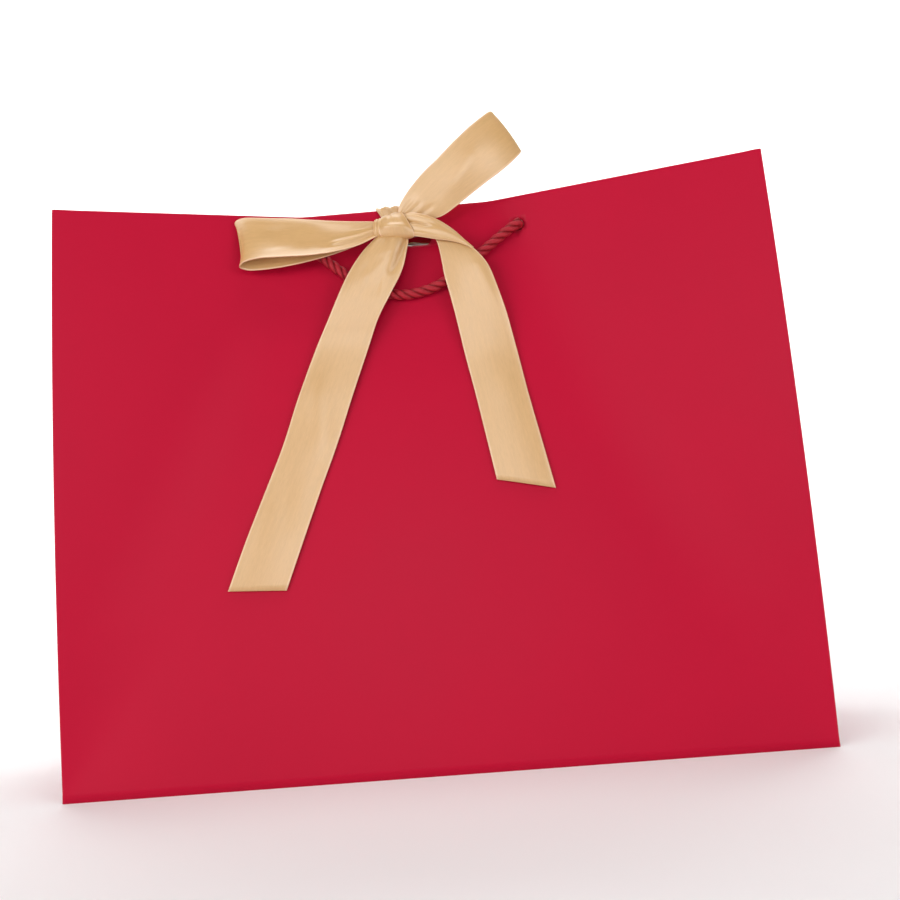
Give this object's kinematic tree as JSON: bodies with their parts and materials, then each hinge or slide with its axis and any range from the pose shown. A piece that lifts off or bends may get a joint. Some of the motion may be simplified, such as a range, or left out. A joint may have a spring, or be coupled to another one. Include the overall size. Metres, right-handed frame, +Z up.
{
  "type": "gift bag",
  "caption": "Paper gift bag with folded side gussets and twisted rope handles, its top tied shut by a satin ribbon bow threaded through slots.",
  "frame": {"origin": "centre of the base, on the surface the bag stands on", "axes": "+Z up, the face with the bow looks along -Y, +X to the right seen from the front"},
  "size_m": [0.3402, 0.1, 0.3055],
  "materials": {
    "red_paper": "matt laminated",
    "white_paper": "uncoated",
    "card": "uncoated",
    "rope": "glossy twisted strands",
    "ribbon": "satin"
  },
  "bodies": {
    "bag": {"front_panel": "red_paper", "back_panel": "red_paper", "left_gusset_front": "red_paper", "left_gusset_back": "red_paper", "left_gusset_foot": "red_paper", "right_gusset_front": "red_paper", "right_gusset_back": "red_paper", "right_gusset_foot": "red_paper", "base_front_flap": "red_paper", "base_back_flap": "red_paper", "base_left_flap": "red_paper", "base_right_flap": "red_paper", "base_board": "card", "front_hem": "red_paper", "back_hem": "red_paper", "left_hem": "red_paper", "right_hem": "red_paper", "front_top_board": "card", "back_top_board": "card", "left_glue_flap": "white_paper", "right_glue_flap": "white_paper", "front_rope_left_end": "rope", "front_rope_right_end": "rope", "back_rope_left_end": "rope", "back_rope_right_end": "rope", "tie_band": "ribbon", "bow_knot": "ribbon", "right_tail_neck": "ribbon"},
    "front_handle": {"front_rope": "rope"},
    "back_handle": {"back_rope": "rope"},
    "left_tail": {"left_tail": "ribbon"},
    "right_tail": {"right_tail": "ribbon"},
    "left_loop": {"left_loop": "ribbon"},
    "right_loop": {"right_loop": "ribbon"}
  },
  "joints": [
    {"name": "front_handle_swing", "type": "hinge", "parent": "bag", "child": "front_handle", "pos_m": [0, -0.0126, 0.25201], "axis": [-1, 0, 0], "range_deg": [0, 110]},
    {"name": "left_tail_swing", "type": "hinge", "parent": "bag", "child": "left_tail", "pos_m": [-0.01, -0.0142, 0.25471], "axis": [-1, 0, 0], "range_deg": [0, 110]},
    {"name": "right_tail_swing", "type": "hinge", "parent": "bag", "child": "right_tail", "pos_m": [0.01, -0.0142, 0.25471], "axis": [-1, 0, 0], "range_deg": [0, 110]},
    {"name": "back_handle_swing", "type": "hinge", "parent": "bag", "child": "back_handle", "pos_m": [0, 0.0126, 0.25201], "axis": [1, 0, 0], "range_deg": [0, 180]},
    {"name": "left_loop_lift", "type": "hinge", "parent": "bag", "child": "left_loop", "pos_m": [-0.05, -0.016, 0.26301], "axis": [-1, 0, 0], "range_deg": [0, 110]},
    {"name": "right_loop_swing", "type": "hinge", "parent": "bag", "child": "right_loop", "pos_m": [-0.007, -0.0142, 0.25471], "axis": [0, 1, 0], "range_deg": [-8, 12], "stiffness_Nm_per_rad": 0.02}
  ],
  "couplings": [
    {"joint": "left_tail_swing", "follows": "front_handle_swing", "ratio": 1},
    {"joint": "right_tail_swing", "follows": "front_handle_swing", "ratio": 1},
    {"joint": "left_loop_lift", "follows": "front_handle_swing", "ratio": 1}
  ]
}
